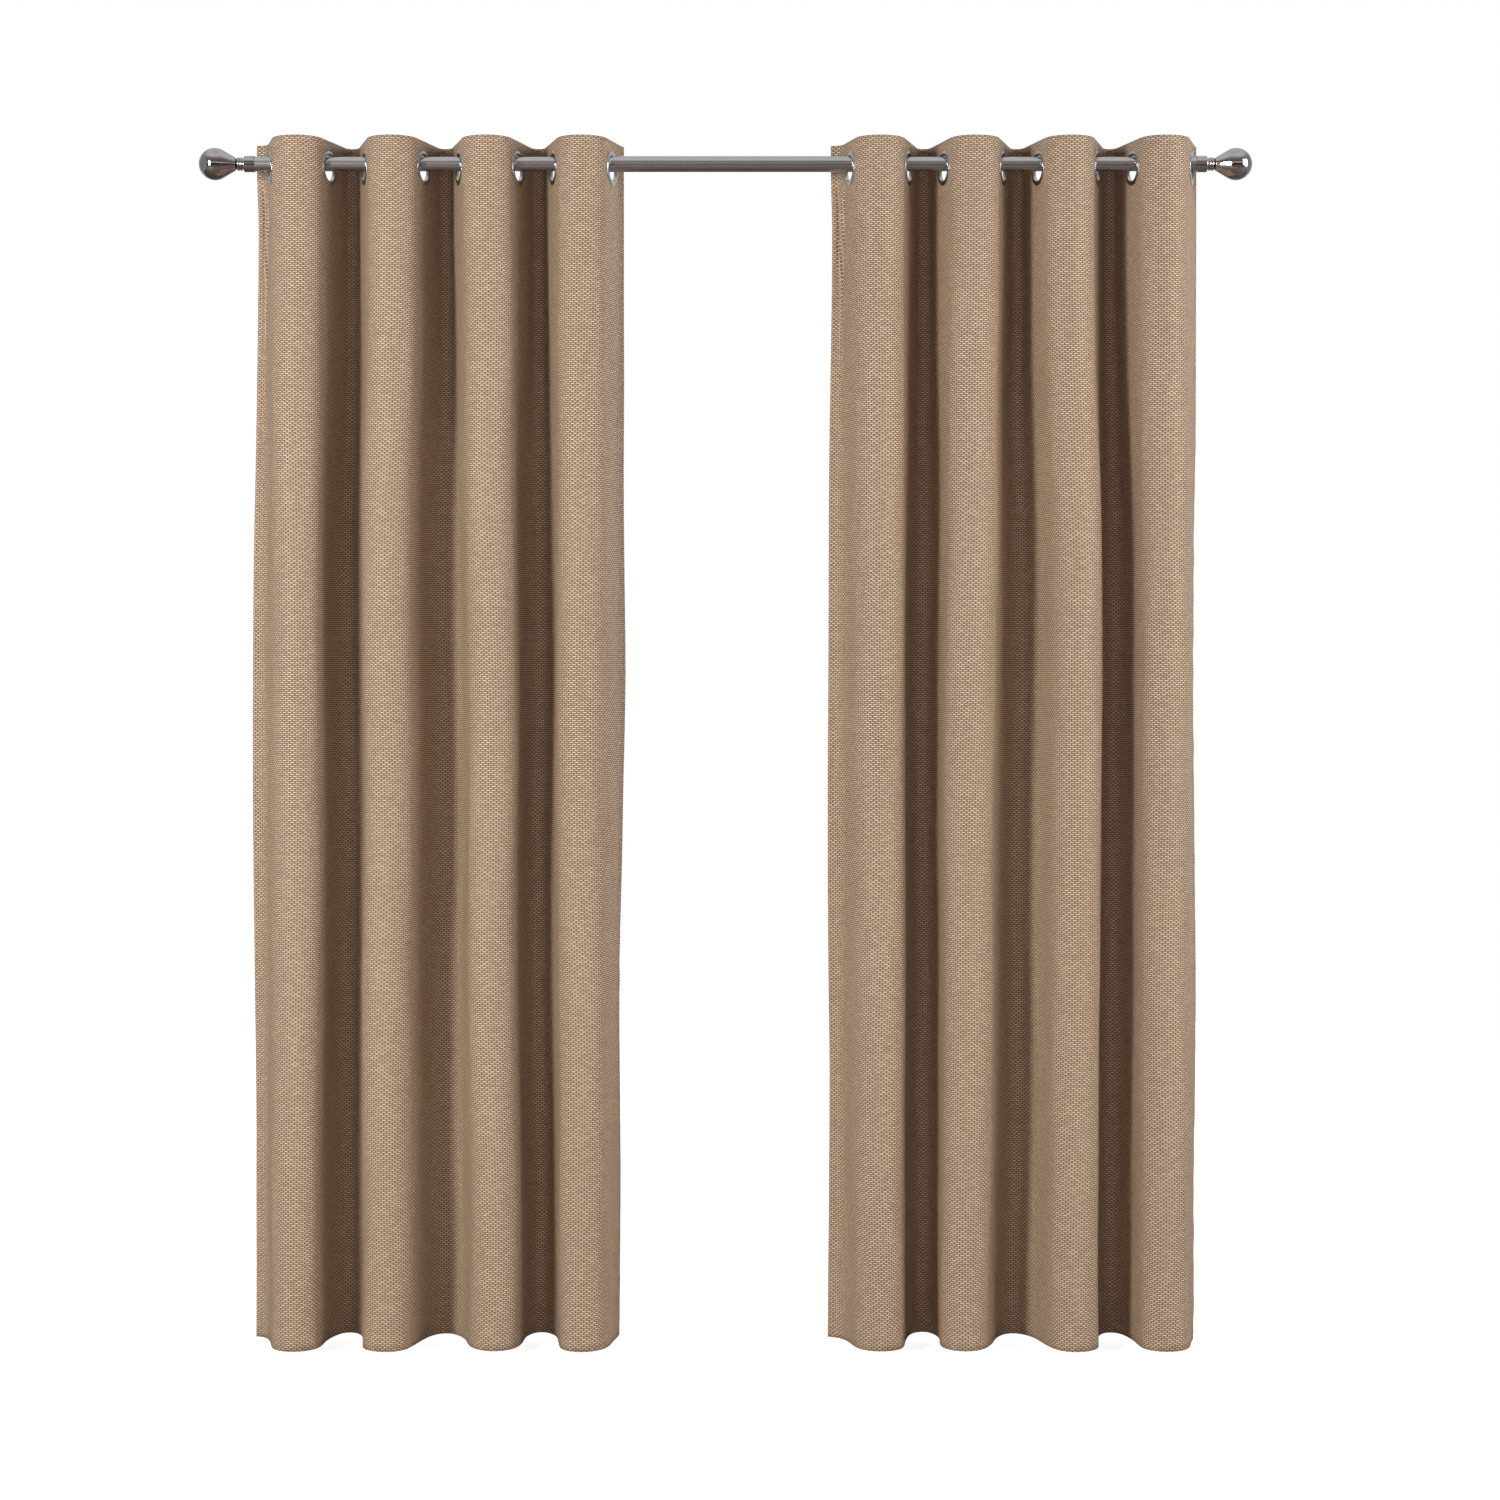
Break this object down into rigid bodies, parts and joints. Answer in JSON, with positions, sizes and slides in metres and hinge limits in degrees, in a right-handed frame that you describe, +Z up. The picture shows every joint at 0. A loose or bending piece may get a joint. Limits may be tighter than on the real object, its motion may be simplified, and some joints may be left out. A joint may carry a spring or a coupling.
{
  "type": "eyelet curtains on a rod",
  "caption": "Pair of full-length eyelet curtains in woven cloth, hung in deep waves on a telescopic metal pole with turned bulb finials and two wall brackets.",
  "frame": {"origin": "middle of the four wall screws, on the wall's face", "axes": "+X right along the pole, +Y into the wall, +Z up"},
  "size_m": [1.87, 0.1589, 2.134],
  "materials": {
    "curtain_cloth": "coarse matte basket weave",
    "band_canvas": "stiff matte canvas",
    "ring_nickel": "satin nickel plate",
    "pole_nickel": "brushed dark nickel plate",
    "finial_chrome": "polished plate",
    "bracket_nickel": "satin nickel plate",
    "screw_steel": "plain zinc-plated steel"
  },
  "bodies": {
    "wall_brackets": {"wall_plate_left": "bracket_nickel", "wall_plate_right": "bracket_nickel", "bracket_arm_left": "bracket_nickel", "bracket_arm_right": "bracket_nickel", "arm_screw_left": "screw_steel", "arm_screw_right": "screw_steel"},
    "pole": {"pole_sleeve": "pole_nickel", "curtain_left": "curtain_cloth", "curtain_right": "curtain_cloth", "header_band_left": "band_canvas", "header_band_right": "band_canvas"},
    "left_tube": {"pole_tube_left": "pole_nickel"},
    "left_finial_neck": {"finial_neck_left": "finial_chrome", "finial_stud_left": "screw_steel"},
    "left_finial_bulb": {"finial_bulb_left": "finial_chrome"},
    "left_grub_screw": {"finial_grub_screw_left": "screw_steel"},
    "left_thumb_screw": {"thumb_screw_left": "bracket_nickel"},
    "left_ring_1": {"left_ring_front_1": "ring_nickel", "left_ring_back_1": "ring_nickel"},
    "left_ring_2": {"left_ring_front_2": "ring_nickel", "left_ring_back_2": "ring_nickel"},
    "left_ring_3": {"left_ring_front_3": "ring_nickel", "left_ring_back_3": "ring_nickel"},
    "left_ring_4": {"left_ring_front_4": "ring_nickel", "left_ring_back_4": "ring_nickel"},
    "left_ring_5": {"left_ring_front_5": "ring_nickel", "left_ring_back_5": "ring_nickel"},
    "left_ring_6": {"left_ring_front_6": "ring_nickel", "left_ring_back_6": "ring_nickel"},
    "left_ring_7": {"left_ring_front_7": "ring_nickel", "left_ring_back_7": "ring_nickel"},
    "left_ring_8": {"left_ring_front_8": "ring_nickel", "left_ring_back_8": "ring_nickel"},
    "right_tube": {"pole_tube_right": "pole_nickel"},
    "right_finial_neck": {"finial_neck_right": "finial_chrome", "finial_stud_right": "screw_steel"},
    "right_finial_bulb": {"finial_bulb_right": "finial_chrome"},
    "right_grub_screw": {"finial_grub_screw_right": "screw_steel"},
    "right_thumb_screw": {"thumb_screw_right": "bracket_nickel"},
    "right_ring_1": {"right_ring_front_1": "ring_nickel", "right_ring_back_1": "ring_nickel"},
    "right_ring_2": {"right_ring_front_2": "ring_nickel", "right_ring_back_2": "ring_nickel"},
    "right_ring_3": {"right_ring_front_3": "ring_nickel", "right_ring_back_3": "ring_nickel"},
    "right_ring_4": {"right_ring_front_4": "ring_nickel", "right_ring_back_4": "ring_nickel"},
    "right_ring_5": {"right_ring_front_5": "ring_nickel", "right_ring_back_5": "ring_nickel"},
    "right_ring_6": {"right_ring_front_6": "ring_nickel", "right_ring_back_6": "ring_nickel"},
    "right_ring_7": {"right_ring_front_7": "ring_nickel", "right_ring_back_7": "ring_nickel"},
    "right_ring_8": {"right_ring_front_8": "ring_nickel", "right_ring_back_8": "ring_nickel"}
  },
  "joints": [
    {"name": "pole_lift", "type": "slide", "parent": "wall_brackets", "child": "pole", "axis": [0, 0, 1], "range_m": [0, 0.045]},
    {"name": "left_tube_extend", "type": "slide", "parent": "pole", "child": "left_tube", "axis": [-1, 0, 0], "range_m": [0, 0.12]},
    {"name": "left_finial_pull", "type": "slide", "parent": "left_tube", "child": "left_finial_neck", "axis": [-1, 0, 0], "range_m": [0, 0.04]},
    {"name": "left_bulb_turn", "type": "hinge", "parent": "left_finial_neck", "child": "left_finial_bulb", "pos_m": [-0.8695, -0.095, 0], "axis": [-1, 0, 0], "continuous": true},
    {"name": "left_grub_screw_turn", "type": "hinge", "parent": "left_finial_neck", "child": "left_grub_screw", "pos_m": [-0.8445, -0.095, -0.013], "axis": [0, 0, 1], "continuous": true},
    {"name": "left_thumb_screw_turn", "type": "hinge", "parent": "wall_brackets", "child": "left_thumb_screw", "pos_m": [-0.765, -0.095, -0.02], "axis": [0, 0, 1], "continuous": true},
    {"name": "left_draw", "type": "slide", "parent": "pole", "child": "left_ring_8", "axis": [1, 0, 0], "range_m": [-0.2845, 0.17], "deforming": ["curtain_left", "header_band_left"]},
    {"name": "left_ring_1_slide", "type": "slide", "parent": "pole", "child": "left_ring_1", "axis": [1, 0, 0], "range_m": [-0.0105, 0.0071]},
    {"name": "left_ring_2_slide", "type": "slide", "parent": "pole", "child": "left_ring_2", "axis": [1, 0, 0], "range_m": [-0.036, 0.0223]},
    {"name": "left_ring_3_slide", "type": "slide", "parent": "pole", "child": "left_ring_3", "axis": [1, 0, 0], "range_m": [-0.0595, 0.0364]},
    {"name": "left_ring_4_slide", "type": "slide", "parent": "pole", "child": "left_ring_4", "axis": [1, 0, 0], "range_m": [-0.1195, 0.0722]},
    {"name": "left_ring_5_slide", "type": "slide", "parent": "pole", "child": "left_ring_5", "axis": [1, 0, 0], "range_m": [-0.143, 0.0863]},
    {"name": "left_ring_6_slide", "type": "slide", "parent": "pole", "child": "left_ring_6", "axis": [1, 0, 0], "range_m": [-0.203, 0.1221]},
    {"name": "left_ring_7_slide", "type": "slide", "parent": "pole", "child": "left_ring_7", "axis": [1, 0, 0], "range_m": [-0.2265, 0.1361]},
    {"name": "right_tube_extend", "type": "slide", "parent": "pole", "child": "right_tube", "axis": [1, 0, 0], "range_m": [0, 0.12]},
    {"name": "right_finial_pull", "type": "slide", "parent": "right_tube", "child": "right_finial_neck", "axis": [1, 0, 0], "range_m": [0, 0.04]},
    {"name": "right_bulb_turn", "type": "hinge", "parent": "right_finial_neck", "child": "right_finial_bulb", "pos_m": [0.8695, -0.095, 0], "axis": [1, 0, 0], "continuous": true},
    {"name": "right_grub_screw_turn", "type": "hinge", "parent": "right_finial_neck", "child": "right_grub_screw", "pos_m": [0.8445, -0.095, -0.013], "axis": [0, 0, 1], "continuous": true},
    {"name": "right_thumb_screw_turn", "type": "hinge", "parent": "wall_brackets", "child": "right_thumb_screw", "pos_m": [0.765, -0.095, -0.02], "axis": [0, 0, 1], "continuous": true},
    {"name": "right_draw", "type": "slide", "parent": "pole", "child": "right_ring_1", "axis": [1, 0, 0], "range_m": [-0.17, 0.2845], "deforming": ["curtain_right", "header_band_right"]},
    {"name": "right_ring_2_slide", "type": "slide", "parent": "pole", "child": "right_ring_2", "axis": [1, 0, 0], "range_m": [-0.1361, 0.2265]},
    {"name": "right_ring_3_slide", "type": "slide", "parent": "pole", "child": "right_ring_3", "axis": [1, 0, 0], "range_m": [-0.1221, 0.203]},
    {"name": "right_ring_4_slide", "type": "slide", "parent": "pole", "child": "right_ring_4", "axis": [1, 0, 0], "range_m": [-0.0863, 0.143]},
    {"name": "right_ring_5_slide", "type": "slide", "parent": "pole", "child": "right_ring_5", "axis": [1, 0, 0], "range_m": [-0.0722, 0.1195]},
    {"name": "right_ring_6_slide", "type": "slide", "parent": "pole", "child": "right_ring_6", "axis": [1, 0, 0], "range_m": [-0.0364, 0.0595]},
    {"name": "right_ring_7_slide", "type": "slide", "parent": "pole", "child": "right_ring_7", "axis": [1, 0, 0], "range_m": [-0.0223, 0.036]},
    {"name": "right_ring_8_slide", "type": "slide", "parent": "pole", "child": "right_ring_8", "axis": [1, 0, 0], "range_m": [-0.004, 0.0054]}
  ],
  "couplings": [
    {"joint": "left_ring_1_slide", "follows": "left_draw", "ratio": 0.03},
    {"joint": "left_ring_2_slide", "follows": "left_draw", "ratio": 0.1195},
    {"joint": "left_ring_3_slide", "follows": "left_draw", "ratio": 0.2021},
    {"joint": "left_ring_4_slide", "follows": "left_draw", "ratio": 0.413},
    {"joint": "left_ring_5_slide", "follows": "left_draw", "ratio": 0.4956},
    {"joint": "left_ring_6_slide", "follows": "left_draw", "ratio": 0.7065},
    {"joint": "left_ring_7_slide", "follows": "left_draw", "ratio": 0.7891},
    {"joint": "right_ring_2_slide", "follows": "right_draw", "ratio": 0.7891},
    {"joint": "right_ring_3_slide", "follows": "right_draw", "ratio": 0.7065},
    {"joint": "right_ring_4_slide", "follows": "right_draw", "ratio": 0.4956},
    {"joint": "right_ring_5_slide", "follows": "right_draw", "ratio": 0.413},
    {"joint": "right_ring_6_slide", "follows": "right_draw", "ratio": 0.2021},
    {"joint": "right_ring_7_slide", "follows": "right_draw", "ratio": 0.1195},
    {"joint": "right_ring_8_slide", "follows": "right_draw", "ratio": 0.012}
  ]
}
